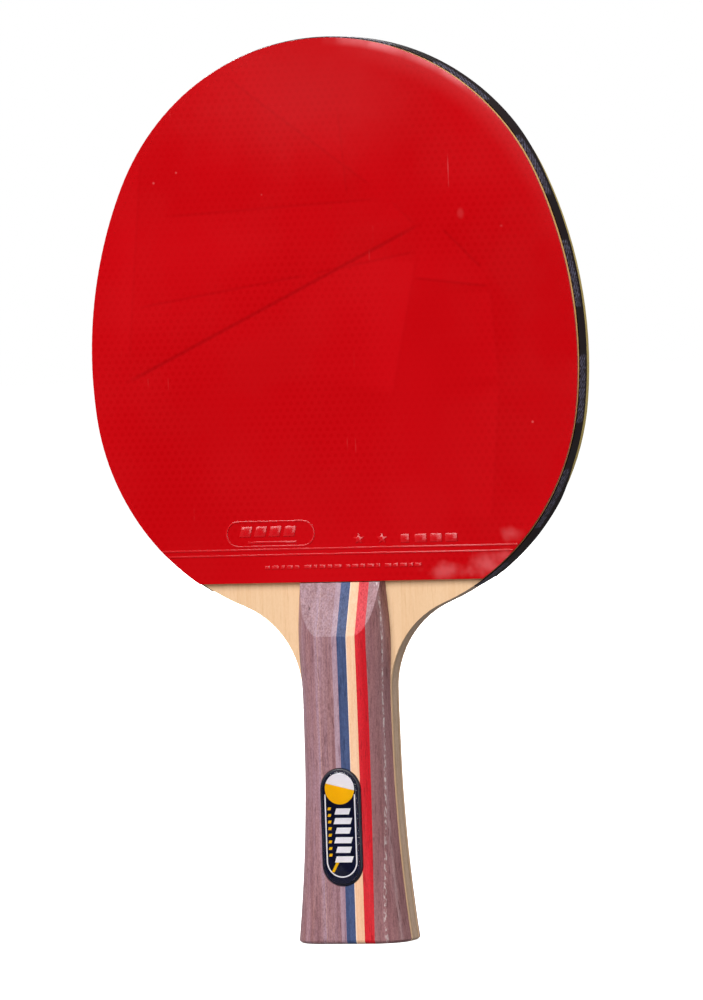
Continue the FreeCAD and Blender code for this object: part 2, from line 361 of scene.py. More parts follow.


# %% [markdown]
# The face ply is pale and fine, the inner plies are coarser, and the strips of the grip are dyed
# and varnished. Mauve is the one with character: two pale lines run up it, it has small knots,
# and pale flecks run along the rounded corner, partly varnish worn through and partly painted
# glints, painted highlights where the varnished corner catches the light.

# %% Woods
# middle, light, dark and pore colour, and what differs from the recipe
woods = {
    "face_veneer": ((239, 199, 157), (243, 206, 166), (234, 191, 146), (220, 175, 128),
                    dict(width=1.3, seed=0.3, pore_depth=0.3, relief=0.015, speckle=0.15)),
    "cross_veneer": ((206, 174, 146), (214, 184, 158), (190, 156, 128), (146, 112, 86),
                     dict(seed=0.7)),
    "core_veneer": ((214, 184, 160), (222, 194, 170), (200, 168, 142), (160, 126, 100),
                    dict(seed=1.1)),
    # worn: pale flecks on the corner, partly wear and partly painted glints
    "mauve_wood": ((172, 133, 147), (194, 143, 139), (138, 91, 98), (96, 54, 60),
                   dict(seed=1.9, speckle=0.38, coat=0.35, sanding=0.20, worn=0.8,
                        lines=((-6.1, 0.85, (178, 146, 166), 0.75),
                               (-5.6, 0.14, (214, 162, 138), 0.6)),
                        knots=((-8.6, 96.3, 0.5, 0.9), (-8.0, 98.2, 0.35, 0.4),
                               (8.3, 7.0, 0.22, 1.7)))),
    "mauve_side_wood": ((172, 121, 127), (186, 132, 131), (142, 91, 95), (96, 55, 59),
                        dict(seed=2.1, speckle=0.3, coat=0.45, sanding=0.20, worn=0.8)),
    "lilac_wood": ((182, 151, 169), (194, 161, 171), (161, 124, 140), (122, 86, 100),
                   dict(seed=2.3, speckle=0.3, coat=0.3, sanding=0.20)),
    "blue_wood": ((64, 82, 128), (80, 100, 148), (48, 64, 106), (26, 36, 72),
                  dict(seed=2.9, speckle=0.3, coat=0.25, sanding=0.08, sanded=(190, 196, 220))),
    "cream_wood": ((249, 199, 158), (253, 214, 180), (242, 181, 141), (224, 156, 116),
                   dict(seed=3.1, pore_depth=0.3, speckle=0.2, coat=0.2, sanding=0.2,
                        sanded=(255, 222, 194), lines=((3.35, 0.3, (255, 232, 214), 0.9),))),
    "red_wood": ((226, 8, 32), (236, 26, 46), (206, 3, 22), (150, 2, 16),
                 dict(seed=3.7, coat=0.1, sanding=0.16, sanded=(255, 160, 170))),
}
finishes = {name: wood(name, *colours, **changes) for name, (*colours, changes) in woods.items()}
print("woods:", ", ".join(finishes))

# %% [markdown]
# ## Sponge
# Both sponges are foamed rubber, and their cut edge shows fine closed cells. A Voronoi pattern
# about a third of a millimetre across gives the cells, which are darker and sunk.

# %% Sponge recipe
def sponge(name, light, dark):
    material, shader, place = new_material(name, Roughness=0.9, Specular_IOR_Level=0.2)
    cells = add("TexVoronoi", {"Vector": place, "Scale": 3200.0}).outputs["Distance"]
    pit = spread(cells, 0.1, 0.45, 1.0, 0.0)
    slow = cloud(place, 200.0, 3.0)
    paint = mix(times(pit, 0.6), colour(*light), colour(*dark))
    paint = mix(spread(slow, 0.35, 0.7, 0.0, 0.35), paint, colour(*dark))
    rough = spread(slow, 0.3, 0.7, 0.8, 0.98)
    wire(shader, {"Base Color": paint, "Roughness": rough})
    bump(shader, minus(1.0, pit), 0.08 * mm)
    return material


finishes["cream_sponge"] = sponge("cream_sponge", (255, 200, 122), (234, 160, 82))
finishes["yellow_sponge"] = sponge("yellow_sponge", (206, 182, 112), (164, 138, 74))
print("finishes with the sponges:", len(finishes))

# %% [markdown]
# ## Rubber
# A topsheet is smooth and glossy, but not perfect: the pips that stand under it show through as
# faint staggered dots, long creases cross it where the sheet was folded in its packet, and it
# carries dust and a few scratches. Each crease is a shallow groove with painted shade along it, and
# a painted tone on one side: painted shade where it darkens and a painted reflection where it
# lightens. A crease is a straight line, so a small group draws one from a start, an angle, a length
# and a width. Its Mapping node moves the face into the line's own coordinates, where being on the
# line is just being near zero.

# %% Crease group
def make_crease_group():
    group, given, out = new_group(
        "crease",
        {"Vector": ("Vector", None), "Start": ("Vector", None), "Turn": ("Vector", None),
         "Size": ("Vector", (1.0, 1.0, 1.0)), "Reach": ("Float", 30.0)},
        {"Line": "Float", "Side": "Float"})
    local = add("Mapping", {"Vector": given["Vector"], "Location": given["Start"],
                            "Rotation": given["Turn"], "Scale": given["Size"]},
                vector_type="TEXTURE").outputs[0]
    along, _, over = split(local)
    inside = times(spread(along, 0.0, 0.08), spread(along, 0.92, 1.0, 1.0, 0.0))
    near = spread(maths("ABSOLUTE", over), 0.0, 1.0, 1.0, 0.0, kind="SMOOTHSTEP")
    fading = times(spread(over, -0.4, 0.4), spread(over, 0.0, given["Reach"], 1.0, 0.0))
    wire(out, {"Line": times(inside, near), "Side": times(inside, fading)})
    return group


crease_line = make_crease_group()
print("crease nodes:", len(crease_line.nodes))


def crease(place, start, end, width, reach):
    """Masks for a painted shade line between two places on the face, in millimetres, and a painted
    tone on its left.
    """
    dx, dz = end[0] - start[0], end[1] - start[1]
    return use(crease_line, {
        "Vector": place, "Start": (start[0] * mm, 0, start[1] * mm),
        "Turn": (0, -math.atan2(dz, dx), 0), "Reach": reach / width,
        "Size": (math.hypot(dx, dz) * mm, 1, width * mm)})


# %% [markdown]
# The sheet also gets painted reflections where it bends away from flat: along its upper edge and
# at the wavy corner near the handle. Each is a soft pale pink ellipse with its outline broken by a
# slow noise. It is part of the base colour, so it stays where it is when the light or the view moves.

# %% Painted reflection and pip sizes
head_middle, head_half = (0, 0, 184.5 * mm), (75.2 * mm, 1, 75.7 * mm)
pip_grid = (455, 0, 525)        # pips to the metre, across and up the face
pip_row_ratio = 0.87            # how much closer the staggered rows are than the pips in a row


def rim_painted_reflection(place):
    """Painted reflection along the upper right edge, fading inwards over a centimetre."""
    local = add("Mapping", {"Vector": place, "Location": head_middle, "Scale": head_half},
                vector_type="TEXTURE").outputs[0]
    x, _, z = split(local)
    away = maths("SQRT", plus(times(x, x), times(z, z)))
    where = times(spread(x, 0.05, 0.3), spread(z, 0.1, 0.7))
    wide = times(where, spread(away, 0.88, 1.01, 0.0, 0.13, kind="SMOOTHSTEP"))
    bend = cloud(place, 130.0)
    # A thin painted highlight hugs the very edge, broken by the noise.
    upper = times(spread(x, 0.0, 0.2), spread(x, 0.5, 0.75, 1.0, 0.0))
    upper = times(upper, spread(bend, 0.3, 0.6, 0.25, 1.0))
    upper = times(upper, spread(z, 0.3, 0.6))
    thin = times(upper, spread(away, 0.955, 0.99, 0.0, 1.0, kind="SMOOTHSTEP"))
    return plus(wide, thin)


print("rows of pips are", round(1000 / pip_grid[2], 3), "mm apart")

# %% [markdown]
# The recipe adds all of this up into one colour, from the large and faint to the small and clear:
# slow drift, folds with their painted shade, pips, painted reflections, dust and scratches. The
# sheet is very glossy, and only smudges and scratches dull it.

# %% Rubber recipe
def rubber(name, light, dark, speck_colour, creases=(), painted_reflections=(), gloss=0.06):
    material, shader, place = new_material(name, Specular_IOR_Level=0.5)
    marks = use(handling, {"Vector": place, "Speck Size": 150.0, "Speck Share": 0.10})
    slow = cloud(place, 14.0)
    shade = spread(slow, 0.3, 0.7, 0.0, 0.6, kind="SMOOTHSTEP")
    lines = 0.0
    # Each fold paints shade along its line and a tone on its left: painted shade where side is
    # positive, a lighter painted reflection where it is negative.
    for start, end, width, strength, side, reach in creases:
        made = crease(place, start, end, width, reach)
        line = times(made["Line"], strength)
        lines = maths("MAXIMUM", line, lines)
        shade = plus(shade, times(made["Side"], side))

    flat = add("Mapping", {"Vector": place, "Scale": pip_grid}).outputs[0]
    x, _, z = split(flat)
    stagger = times(maths("MODULO", maths("FLOOR", z), 2.0), 0.5)
    u = minus(maths("FRACT", plus(x, stagger)), 0.5)
    v = times(minus(maths("FRACT", z), 0.5), pip_row_ratio)
    radius = maths("SQRT", plus(times(u, u), times(v, v)))
    pip = spread(radius, 0.18, 0.36, 1.0, 0.0, kind="SMOOTHSTEP")
    patchy = spread(cloud(place, 25.0), 0.4, 0.6, 0.25, 1.0)
    pip = times(pip, patchy)

    shade = plus(shade, times(pip, 0.4))
    paint = mix(shade, colour(*light), colour(*dark))
    # The fold lines are painted shade: a quarter of the dark red.
    painted_fold_shade = tuple(v * 0.25 for v in colour(*dark)[:3]) + (1.0,)
    paint = mix(lines, paint, painted_fold_shade)
    if painted_reflections:
        reflection_mask = rim_painted_reflection(place)
        for x, z, wide, high, strength in painted_reflections:
            patch = spot(place, x, z, wide, high, min(1.2, 12 / wide), 210.0)
            reflection_mask = plus(reflection_mask, times(patch, strength))
        # The pale pink is a painted reflection of the lights, mixed into the base colour.
        paint = mix(reflection_mask, paint, colour(236, 120, 124))
    speck = times(marks["Speck"], 0.35)
    speck = maths("MAXIMUM", speck, times(marks["Scratch"], 0.05))
    paint = mix(speck, paint, colour(*speck_colour))
    height = times(pip, 0.3)
    if creases:
        height = minus(height, times(lines, 0.5))
    bump(shader, height, 0.02 * mm)
    rough = spread(marks["Smudge"], 0.0, 1.0, gloss, gloss + 0.05)
    rough = plus(rough, times(marks["Scratch"], 0.06))
    wire(shader, {"Base Color": paint, "Roughness": rough})
    return material


# %% [markdown]
# The red sheet has all the folds, each with its painted shade: a long one crosses it from the left,
# and shorter ones lie round it. The moulded marks are the same rubber, a little duller, and painted
# a little lighter as a painted highlight on their raised faces.

# %% Rubbers
# start, end, width, depth of the painted shade line, painted shade on its left (a lighter painted
# reflection where negative), how far that painted tone reaches
red_creases = (
    ((-65, 162), (30, 206), 1.0, 0.26, 0.20, 16),
    ((-60, 184), (-6, 192), 0.8, 0.12, 0.14, 12),
    ((-6, 192), (27, 197.5), 0.8, 0.12, 0.14, 10),
    ((-51, 210), (17, 213), 0.8, 0.10, 0.16, 16),
    ((-30, 250), (15, 216), 0.8, 0.10, -0.14, 14),
    ((4.5, 239), (6.5, 214), 0.7, 0.08, 0.12, 9),
    ((18, 156), (27, 196), 1.0, 0.04, -0.42, 34),
    ((27, 205), (20, 212), 0.8, 0.06, -0.2, 12),
    ((26, 190), (49, 187), 0.8, 0.15, -0.26, 22),
    ((47, 120), (51, 160), 1.0, 0.04, -0.34, 18),
    ((51, 160), (49, 187), 1.0, 0.04, -0.34, 18),
    ((35, 204), (47, 192), 0.8, 0.14, 0.2, 10),
    ((-63, 168), (-57, 228), 0.8, 0.06, -0.26, 9),
)
# painted reflections on the red: x, z, half width, half height, strength
red_painted_reflections = (
    (33.5, 106.3, 10, 3.4, 0.36), (45, 107.4, 8.5, 4.8, 0.42), (51, 110, 4, 3.0, 0.25),
    (53, 116.5, 4.5, 3.0, 0.3), (-5, 245, 62, 34, 0.05), (37.7, 221, 0.35, 6, 0.24),
    (41, 208, 1.3, 2.2, 0.09), (53.3, 204, 0.9, 0.7, 0.15),
)
finishes["red_rubber"] = rubber("red_rubber", (202, 8, 17), (188, 2, 8), (245, 120, 120),
                                red_creases, red_painted_reflections)
# The marks' colours are a little lighter than their sheet's: a painted highlight where the raised
# marks catch the light.
finishes["red_marks"] = rubber("red_marks", (208, 14, 24), (198, 8, 16), (250, 140, 140), gloss=0.14)
finishes["black_rubber"] = rubber("black_rubber", (26, 26, 29), (21, 21, 24), (90, 90, 92))
finishes["black_marks"] = rubber("black_marks", (34, 34, 37), (28, 28, 31), (90, 90, 92), gloss=0.2)
print("folds in the red:", len(red_creases), "hazes:", len(red_painted_reflections))

# %% [markdown]
# ## Tape and badge finishes
# The edge tape is a dull black plastic film with a pale grey pattern printed along it. It is
# painted by its own UV map, where U is the distance along the tape and V its width, both in
# metres, so the pattern follows the curve.

# %% Tape material
print_repeat = 33 * mm          # the pattern, with its gap, comes back after this much tape
print_middle, print_reach = 3.0 * mm, 2.2 * mm


def make_tape_material():
    material, shader, place = new_material("edge_tape", Specular_IOR_Level=0.12)
    uv_map = material.node_tree.nodes.new("ShaderNodeUVMap")
    uv_map.uv_map = "tape"
    along, over, _ = split(uv_map.outputs[0])
    marks = use(handling, {"Vector": place, "Speck Size": 300.0, "Speck Share": 0.2})
    repeat = maths("FRACT", maths("DIVIDE", along, print_repeat))
    window = times(spread(repeat, 0.20, 0.22), spread(repeat, 0.78, 0.80, 1.0, 0.0))
    slant = plus(along, times(over, 0.8))
    bars = spread(maths("FRACT", maths("DIVIDE", slant, 1.5 * mm)), 0.35, 0.5)
    away = maths("ABSOLUTE", minus(over, print_middle))
    middle = spread(away, print_reach, print_reach + 0.2 * mm, 1.0, 0.0)
    strokes = plus(0.15, times(bars, 0.85))
    printed = times(times(window, strokes), middle)
    worn = spread(cloud(place, 1300.0), 0.4, 0.6, 0.1, 1.0)
    paint = mix(marks["Smudge"], colour(24, 9, 13), colour(32, 15, 19))
    paint = mix(times(printed, worn), paint, colour(112, 108, 132))
    paint = mix(times(marks["Speck"], 0.5), paint, colour(150, 140, 135))
    rough = spread(marks["Smudge"], 0.0, 1.0, 0.45, 0.62)
    wire(shader, {"Base Color": paint, "Roughness": rough})
    bump(shader, cloud(place, 2500.0), 0.02 * mm)
    return material


finishes["edge_tape"] = make_tape_material()
print("tape nodes:", len(finishes["edge_tape"].node_tree.nodes))

# %% [markdown]
# The badge is a dark glossy base with printed shapes under a clear resin dome. The prints are
# flat inks, so they only need smudges, dust and a very fine relief. The dome lets the light
# through as glass does: full transmission, an index of 1.5 and a faint unevenness on top.

# %% Badge materials
def ink(name, light, dark, roughness=0.35, gloss=0.5):
    material, shader, place = new_material(name, Specular_IOR_Level=gloss)
    marks = use(handling, {"Vector": place, "Speck Size": 500.0, "Speck Share": 0.15})
    paint = mix(marks["Smudge"], colour(*light), colour(*dark))
    paint = mix(times(marks["Speck"], 0.2), paint, colour(200, 200, 205))
    rough = spread(marks["Smudge"], 0.0, 1.0, roughness - 0.05, roughness + 0.1)
    wire(shader, {"Base Color": paint, "Roughness": rough})
    bump(shader, cloud(place, 1800.0), 0.004 * mm)
    return material


finishes["badge_base"] = ink("badge_base", (22, 24, 44), (16, 17, 32), 0.25)
finishes["badge_navy"] = ink("badge_navy", (22, 24, 48), (16, 17, 38), gloss=0.0)
finishes["badge_white"] = ink("badge_white", (244, 240, 246), (228, 226, 236), gloss=0.0)
finishes["badge_yellow"] = ink("badge_yellow", (250, 190, 20), (240, 172, 8), gloss=0.0)


def make_resin():
    material, shader, place = new_material("badge_resin", Transmission_Weight=1.0, IOR=1.5,
                                                 Base_Color=(1, 1, 1, 1))
    marks = use(handling, {"Vector": place, "Speck Size": 400.0, "Speck Share": 0.1})
    wire(shader, {"Roughness": spread(marks["Scratch"], 0.0, 1.0, 0.02, 0.2)})
    bump(shader, cloud(place, 120.0), 0.01 * mm)
    return material


finishes["badge_resin"] = make_resin()
print("finishes:", len(finishes))

# %% [markdown]
# ## Painting the CAD nodes
# The plies, the sponges and the strips of the grip have the right shape already, so they stay as
# they are and only get their finish. A node's name says which strip it is.

# %% Give the CAD nodes their finishes
node_finish = {"front_face_ply": "face_veneer", "back_face_ply": "face_veneer",
               "front_cross_ply": "cross_veneer", "back_cross_ply": "cross_veneer",
               "core_ply": "core_veneer", "front_sponge": "cream_sponge",
               "back_sponge": "yellow_sponge"}
for name in nodes:
    if "_grip_" in name:
        node_finish[name] = name.split("_")[2] + "_wood"
        if name.endswith(("mauve_side", "lilac_outer")):
            node_finish[name] = "mauve_side_wood"
for name, finish in node_finish.items():
    nodes[name].data.materials.clear()
    nodes[name].data.materials.append(finishes[finish])
print("painted CAD nodes:", len(node_finish))

# %% [markdown]
# ## Bmesh helpers
# A few steps come back in every piece: pulling faces out into a thickness, cutting along a
# plane, and rounding edges. Each is one bmesh operator, wrapped here so that its settings are
# given once. Bevel's own defaults differ from the editor's, so all of them are named.

# %% Helpers for shaping
def everything(bm):
    return bm.verts[:] + bm.edges[:] + bm.faces[:]


def pull(bm, faces, move):
    """Extrudes faces, moves the new ones and gives back their vertices."""
    made = bmesh.ops.extrude_face_region(bm, geom=faces)["geom"]
    moved = [g for g in made if isinstance(g, bmesh.types.BMVert)]
    bmesh.ops.translate(bm, verts=moved, vec=move)
    return moved


def slice_at(bm, place, normal, drop=False):
    """Cuts along a plane, and can drop what lies on the normal's side."""
    bmesh.ops.bisect_plane(bm, geom=everything(bm), plane_co=place, plane_no=normal, clear_outer=drop)


def soften(bm, edges, size, segments):
    bmesh.ops.bevel(bm, geom=edges, offset=size, offset_type="OFFSET", segments=segments,
                    profile=0.5, affect="EDGES", material=-1, clamp_overlap=True)


def open_ring(bm, face, width):
    """Leaves only a ring of that width round a face's edge."""
    bmesh.ops.inset_region(bm, faces=[face], thickness=width, use_boundary=True, use_even_offset=True)
    bmesh.ops.delete(bm, geom=[face], context="FACES_ONLY")


# %% [markdown]
# ## Turning a bmesh into a piece
# Every new piece is finished the same way: doubles merged, normals turned outwards, smooth
# shading with the sharp edges kept, a material, and then a ride on the paddle's one body.

# %% Helpers for pieces
def new_object(bm, name, material):
    """Turns the bmesh into an object in the scene, with one material."""
    mesh = bpy.data.meshes.new(name)
    bm.to_mesh(mesh)
    bm.free()
    mesh.materials.append(material)
    made = bpy.data.objects.new(name, mesh)
    bpy.context.scene.collection.objects.link(made)
    return made


def finish_piece(bm, name, finish, replaces=(), sharp=35, recalc=True):
    bmesh.ops.remove_doubles(bm, verts=bm.verts, dist=1e-7)
    if recalc:
        bmesh.ops.recalc_face_normals(bm, faces=bm.faces)
    for face in bm.faces:
        face.smooth = True
    for edge in bm.edges:
        edge.smooth = len(edge.link_faces) == 2 and edge.calc_face_angle(0) < math.radians(sharp)
    piece = new_object(bm, name, finishes[finish])
    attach(piece, "root")
    if replaces:
        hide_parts(*replaces)
    piece.data.calc_loop_triangles()
    print(f"{name}: {len(piece.data.loop_triangles)} triangles")


# %% [markdown]
# ## The rim of the head
# One vertex at the crown is spun about the centre of each arc in turn, which leaves a chain of
# short edges down the +X side. Mirroring it gives the whole rim. The growth moves the rim in or
# out, because the tape, the sheet and the rows of pips all follow it at their own distance.

# %% Rim
step = 0.5 * mm


def rim_half(bm, growth, y, low_z=None):
    """Vertices of the +X half of the rim, from the crown down past low_z, or on to the middle."""
    low = -math.pi / 2 - math.asin(cheek_centre.x / (cheek_radius + growth))
    if low_z is not None:
        low = math.asin((low_z - 1.0 * mm - cheek_centre.z) / (cheek_radius + growth))
    arcs = ((crown_centre, crown_radius, math.pi / 2 - crown_to_side),
            (side_centre, side_radius, crown_to_side - side_to_cheek),
            (cheek_centre, cheek_radius, side_to_cheek - low))
    chain = [bm.verts.new((0, y, crown_z + growth))]
    for centre, radius, turn in arcs:
        steps = max(2, round((radius + growth) * turn / step))
        before = len(bm.verts)
        bmesh.ops.spin(bm, geom=[chain[-1]], cent=(centre.x, y, centre.z), axis=(0, 1, 0),
                       angle=turn, steps=steps)
        bm.verts.ensure_lookup_table()
        chain += [bm.verts[i] for i in range(before, len(bm.verts))]
    return chain


def rim_distance(x, z):
    """How far a place on the blade is inside the CAD rim; negative is outside."""
    x = abs(x)
    for centre, radius, low in ((crown_centre, crown_radius, crown_to_side),
                                (side_centre, side_radius, side_to_cheek),
                                (cheek_centre, cheek_radius, -math.pi)):
        away = Vector((x - centre.x, 0, z - centre.z))
        if math.atan2(away.z, away.x) >= low:
            return radius - away.length
    return 0.0


test = bmesh.new()
half = rim_half(test, 0, 0)
print("half rim:", len(half), "vertices, widest", round(max(v.co.x for v in half) * 1000, 2), "mm")
test.free()

# %% [markdown]
# ## Topsheets
# A topsheet is a thin sheet of rubber with short pips under it. It was cut to the blade with a
# knife after gluing, so it ends a third of a millimetre inside the rim and its edge wanders a
# little. It also lies slightly uneven: curled at its edge, wavy at one corner, pressed in beside
# it. Those are small functions of where a place is on the face, and the mesh is lowered by them
# at the end.

# %% How the faces lie
def step_up(value, low, high):
    t = min(1.0, max(0.0, (value - low) / (high - low)))
    return t * t * (3 - 2 * t)


def edge_curl(x, z, reach):
    """1 at the edge of the sheet, falling to 0 over the reach, in millimetres."""
    inside = min(rim_distance(x, z), z - edge_z) / mm
    return max(0.0, 1 - inside / reach) ** 2


def red_lift(x, z):
    """How far the red face lies back, in millimetres."""
    angle = math.atan2(z - side_centre.z, x)
    strength = 0.05 + 0.03 * noise.noise((2.2 * math.cos(angle), 2.2 * math.sin(angle), 3.0))
    curl = strength * edge_curl(x, z, 8)
    from_rim = rim_distance(x, z) / mm
    x, z = x / mm, z / mm
    corner = step_up(x, 20, 27) * step_up(56 - x, 0, 8) * step_up(112 - z, 0, 5)
    wave = corner * 0.12 * (0.5 - 0.5 * math.sin((x - 24 + 0.5 * (z - 104)) / 13.5 * math.tau))
    dent = 0.10 * step_up(x + z, 174, 184) * step_up(from_rim, -1, 4) * step_up(140 - z, 0, 12)
    return curl + wave + dent + 0.03 + 0.03 * noise.noise((x * 0.03, z * 0.03, 0))


def black_lift(x, z):
    return 0.08 * edge_curl(x, z, 5) + 0.03 + 0.03 * noise.noise((x * 30, z * 30, 7))


def black_recess(angle):
    """The black sheet was cut shorter along the right side, where its sponge can be seen."""
    return 0.35 + 0.85 * step_up(angle, -1.0, -0.6) * step_up(1.9 - angle, 0, 0.5)


print("red face at its middle lies back", round(red_lift(0, side_centre.z), 3), "mm")


# %% [markdown]
# The sheet is the whole rim filled with one face. Insets give it even rows near the edge while
# the outline is still closed, and only then is it cut straight at the handle, thickened, bevelled
# round its edge and sliced into a grid, so that its face has the vertices to lie uneven.

# %% Topsheet
edge_rows = (0.6,) * 6 + (1.4,) * 3     # widths of the rows near the edge, in millimetres
grid_pitch = 1.9                        # in millimetres
columns = math.ceil(half_width / mm / grid_pitch)
rows = math.ceil((crown_z - edge_z) / mm / grid_pitch)


def make_topsheet(name, finish, node, face_y, outward, thickness, recess, lift):
    bm = bmesh.new()
    rim_half(bm, 0, face_y)
    bmesh.ops.mirror(bm, geom=bm.verts[:] + bm.edges[:], axis="X", merge_dist=1e-5)
    bmesh.ops.remove_doubles(bm, verts=bm.verts, dist=2e-5)
    for v in bm.verts:
        around = Vector((v.co.x, 0, v.co.z - side_centre.z)).normalized()
        angle = math.atan2(around.z, around.x)
        wander = 0.05 * noise.noise(v.co * 60) + 0.015 * math.sin(angle * 200)
        v.co -= around * (recess(angle) - wander) * mm
    bmesh.ops.contextual_create(bm, geom=bm.edges[:])
    bm.normal_update()
    face = bm.faces[:][0]
    for width in edge_rows:
        bmesh.ops.inset_region(bm, faces=[face], thickness=width * mm,
                               use_boundary=True, use_even_offset=True)
    slice_at(bm, (0, 0, edge_z + 0.05 * mm), (0, 0, -1), drop=True)
    top = set(pull(bm, bm.faces[:], (0, 0, 0)))
    base = [v for v in bm.verts if v not in top]
    bmesh.ops.translate(bm, verts=base, vec=(0, -outward * thickness, 0))
    rim = [e for e in bm.edges if all(v in top for v in e.verts)
           and any(not all(v in top for v in f.verts) for f in e.link_faces)]
    soften(bm, rim, 0.2 * mm, 3)
    for i in range(1 - columns, columns):
        slice_at(bm, (i * grid_pitch * mm, 0, 0), (1, 0, 0))
    for i in range(1, rows):
        slice_at(bm, (0, 0, edge_z + i * grid_pitch * mm), (0, 0, 1))
    for v in bm.verts:
        share = max(0.0, 1 - abs(v.co.y - face_y) / thickness)
        v.co.y -= outward * share * lift(v.co.x, v.co.z) * mm
    finish_piece(bm, name, finish, [node], sharp=12)


mark_height = 0.12 * mm
red_sheet_y, black_sheet_y = red_face + mark_height, black_face - mark_height
red_thickness, black_thickness = 0.85 * mm, 0.60 * mm
make_topsheet("front_sheet", "red_rubber", "front_topsheet", red_sheet_y, -1, red_thickness,
              lambda angle: 0.36, red_lift)
make_topsheet("back_sheet", "black_rubber", "back_topsheet", black_sheet_y, 1, black_thickness,
              black_recess, black_lift)

# %% [markdown]
# ## Pips
# Under the sheet stand rows of short pips, 2.2 mm apart and staggered. They can only be seen
# where the edge of the rubber is open, so only the outer rows are made: thousands in the middle
# would add weight and never show. Each is a six-sided cone with its tip cut off.

# %% Pips
pip_pitch, pip_row = 2.2 * mm, 1.905 * mm
pip_foot, pip_tip = 0.72 * mm, 0.62 * mm    # radii
outer_rows = 6.0 * mm                       # pips stand only this far in from the edge
overlap = 0.03 * mm                         # how far a pip reaches into its sheet


def make_pips(name, finish, sheet_back, sponge_y, outward, edge_gap):
    bm = bmesh.new()
    height = abs(sheet_back - sponge_y)
    turn = Matrix.Rotation(-outward * math.pi / 2, 4, "X")
    most = math.ceil(half_width / pip_pitch)
    for row in range(math.ceil((crown_z - edge_z) / pip_row)):
        z = edge_z + 0.95 * mm + row * pip_row
        for column in range(-most, most + 1):
            x = (column + 0.5 * (row % 2)) * pip_pitch
            inside = min(rim_distance(x, z), z - edge_z)
            if edge_gap < inside < outer_rows:
                place = Matrix.Translation((x, (sheet_back + sponge_y) / 2, z)) @ turn
                bmesh.ops.create_cone(bm, cap_ends=True, segments=6, radius1=pip_foot,
                                      radius2=pip_tip, depth=height, matrix=place)
    finish_piece(bm, name, finish, recalc=False)


make_pips("front_pips", "red_rubber", red_sheet_y + red_thickness - overlap, red_back, -1, 1.0 * mm)
make_pips("back_pips", "black_rubber", black_sheet_y - black_thickness + overlap, black_back, 1,
          2.0 * mm)

# %% [markdown]
# ## Raised marks
# Near the handle a topsheet carries moulded marks: two thin ribs right across, a frame, two
# stars and rows of small blocks. Lettering is left out, so plain bars and dashes stand where a
# maker would put words. Each mark starts as one of three flat shapes: a bar, a star or a capsule.

# %% Flat shapes
face_turn = Matrix.Rotation(math.pi / 2, 4, "X")


def flat_bar(bm, x, z, width, height, y, slant=0.0):
    size = Matrix.Diagonal((width / 2, 1, height / 2, 1))
    made = bmesh.ops.create_grid(bm, x_segments=1, y_segments=1, size=1,
                                 matrix=Matrix.Translation((x, y, z)) @ size @ face_turn)["verts"]
    for v in made:
        v.co.x += (v.co.z - z) * slant


def flat_star(bm, x, z, size, y):
    """A five-pointed star: a ten-sided disc with every other corner drawn in."""
    made = bmesh.ops.create_circle(bm, cap_ends=True, segments=10, radius=size,
                                   matrix=Matrix.Translation((x, y, z)) @ face_turn)["verts"]
    for i, v in enumerate(made):
        around = (v.co - Vector((x, y, z)))
        angle = math.atan2(around.z, around.x) - math.pi / 2
        if round(angle / (math.pi / 5)) % 2:
            v.co = Vector((x, y, z)) + around * 0.42


def flat_capsule(bm, x, z, width, height, y, steps):
    """A capsule, lying or upright: half a circle is spun, and its copy turned to the other end."""
    lying = width > height
    radius = min(width, height) / 2
    if lying:
        centre = Vector((x + width / 2 - radius, y, z))
        start = centre + Vector((0, 0, radius))
    else:
        centre = Vector((x, y, z + height / 2 - radius))
        start = centre + Vector((radius, 0, 0))
    first = len(bm.verts)
    bmesh.ops.spin(bm, geom=[bm.verts.new(start)], cent=centre, axis=(0, 1 if lying else -1, 0),
                   angle=math.pi, steps=steps)
    bm.verts.ensure_lookup_table()
    one_end = [bm.verts[i] for i in range(first, len(bm.verts))]
    copied = bmesh.ops.duplicate(bm, geom=one_end)["vert_map"]
    other_end = [copied[v] for v in one_end]
    bmesh.ops.rotate(bm, verts=other_end, cent=(x, y, z), matrix=Matrix.Rotation(math.pi, 3, "Y"))
    for v in one_end:
        for e in list(v.link_edges):
            bm.edges.remove(e)
    face = bm.faces.new(one_end + other_end)
    face.normal_update()
    return face


# %% [markdown]
# All the flat marks of one side are set out first, in millimetres from the middle and from the
# handle's end. Then they are extruded outwards together and bevelled, and make one piece that
# stands a tenth of a millimetre proud. Their feet are sunk, so that no gap shows where the sheet
# lies back.

# %% Raised marks
sunk = 0.06 * mm


def raise_marks(bm, outward):
    top = set(pull(bm, bm.faces[:], (0, outward * (mark_height + sunk), 0)))
    rim = [e for e in bm.edges if all(v in top for v in e.verts)
           and any(len(set(f.verts) & top) < len(f.verts) for f in e.link_faces)]
    soften(bm, rim, 0.05 * mm, 2)


